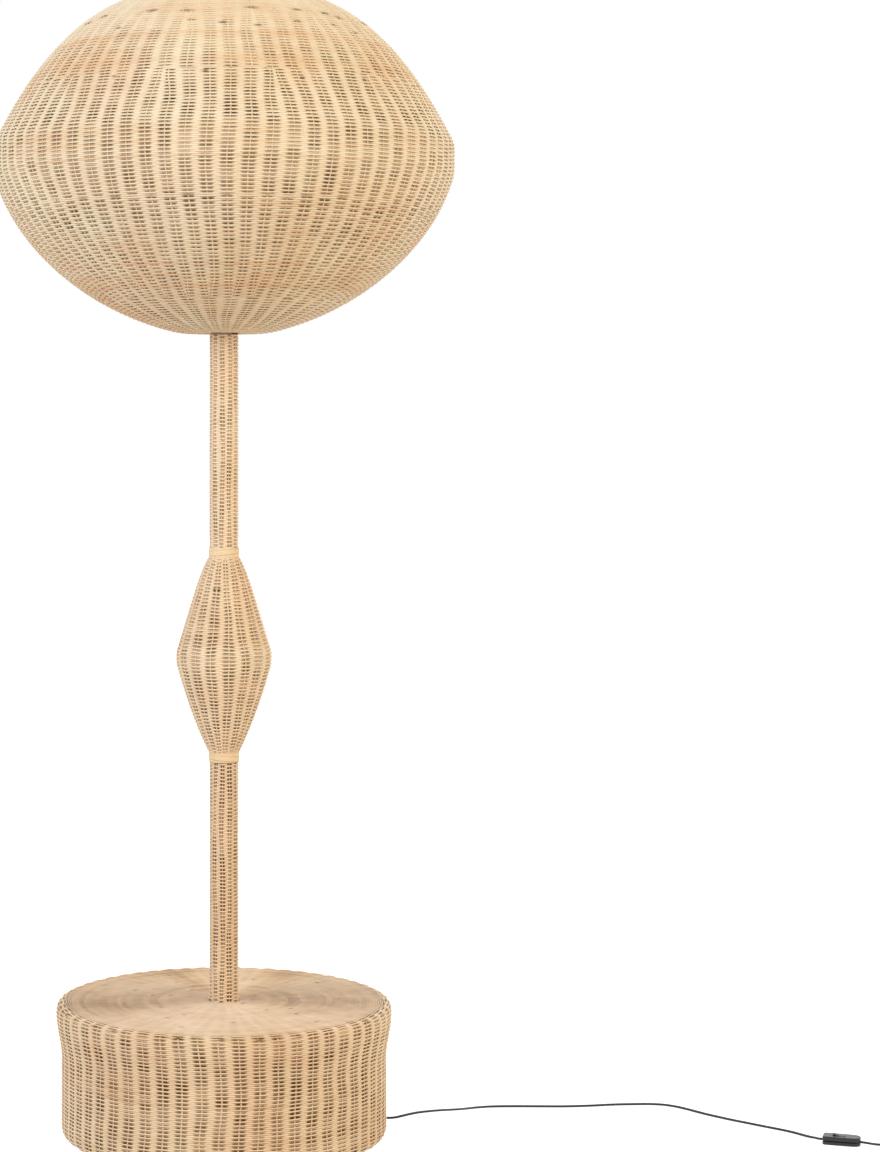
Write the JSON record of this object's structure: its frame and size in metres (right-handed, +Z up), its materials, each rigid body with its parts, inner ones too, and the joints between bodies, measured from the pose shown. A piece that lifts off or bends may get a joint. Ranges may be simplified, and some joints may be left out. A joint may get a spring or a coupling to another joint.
{
  "type": "floor lamp",
  "caption": "Floor lamp with a woven drum base, a thin woven column with a diamond-shaped bulge, and a wide lens-shaped woven shade open at the top, with a cord and an inline switch.",
  "frame": {"origin": "on the floor, on the lamp's upright axis", "axes": "+Z up along the column; +X to the side where the cord leaves the base; +Y away from the viewer of the picture"},
  "size_m": [1.3157, 0.602, 1.4882],
  "materials": {
    "rattan": "natural satin rattan core, clear finish",
    "rattan_pale": "pale smooth wrapping cane",
    "steel": "zinc plated",
    "black_steel": "black paint, satin",
    "cast_iron": "raw casting",
    "plywood": "raw plywood",
    "rubber": "matte",
    "black_plastic": "fine satin",
    "brass": "plain",
    "ceramic": "unglazed",
    "bulb_glass": "frosted"
  },
  "bodies": {
    "lamp": {"base_weave": "rattan", "column_weave_lower": "rattan", "column_weave_upper": "rattan", "bulge_weave": "rattan", "shade_weave": "rattan", "shade_dome_weave": "rattan", "bulge_binding_lower": "rattan_pale", "bulge_binding_upper": "rattan_pale", "shade_border": "rattan_pale", "pole_tube": "steel", "pole_top_bush": "steel", "fitter_washer": "steel", "fitter_nut": "steel", "board_screw_1": "steel", "board_screw_2": "steel", "board_screw_3": "steel", "board_screw_4": "steel", "flange_bolt_1": "steel", "flange_bolt_2": "steel", "flange_bolt_3": "steel", "switch_screw_1": "steel", "switch_screw_2": "steel", "rocker_pin": "steel", "base_frame": "black_steel", "bulge_frame": "black_steel", "shade_frame": "black_steel", "pole_flange": "black_steel", "ballast_disc": "cast_iron", "bottom_board": "plywood", "foot_pad_1": "rubber", "foot_pad_2": "rubber", "foot_pad_3": "rubber", "foot_pad_4": "rubber", "cord_bushing": "rubber", "coil_tie": "rubber", "holder_cap": "black_plastic", "holder_shell": "black_plastic", "inner_cord": "black_plastic", "cord_lead": "black_plastic", "cord_tail": "black_plastic", "cord_coil": "black_plastic", "switch_base": "black_plastic", "switch_cover": "black_plastic", "plug_body": "black_plastic", "threaded_nipple": "brass", "screw_sleeve": "brass", "centre_contact": "brass", "plug_pin_1": "brass", "plug_pin_2": "brass", "holder_insulator": "ceramic"},
    "bulb": {"bulb_glass": "bulb_glass", "bulb_cap": "brass"},
    "rocker": {"switch_rocker": "black_plastic"}
  },
  "joints": [
    {"name": "bulb_screw", "type": "slide", "parent": "lamp", "child": "bulb", "axis": [0, 0, 1], "range_m": [0, 0.03]},
    {"name": "rocker_pivot", "type": "hinge", "parent": "lamp", "child": "rocker", "pos_m": [0.78952, -0.06268, 0.0081], "axis": [0.309, 0.9511, 0], "range_deg": [-14, 0]}
  ]
}
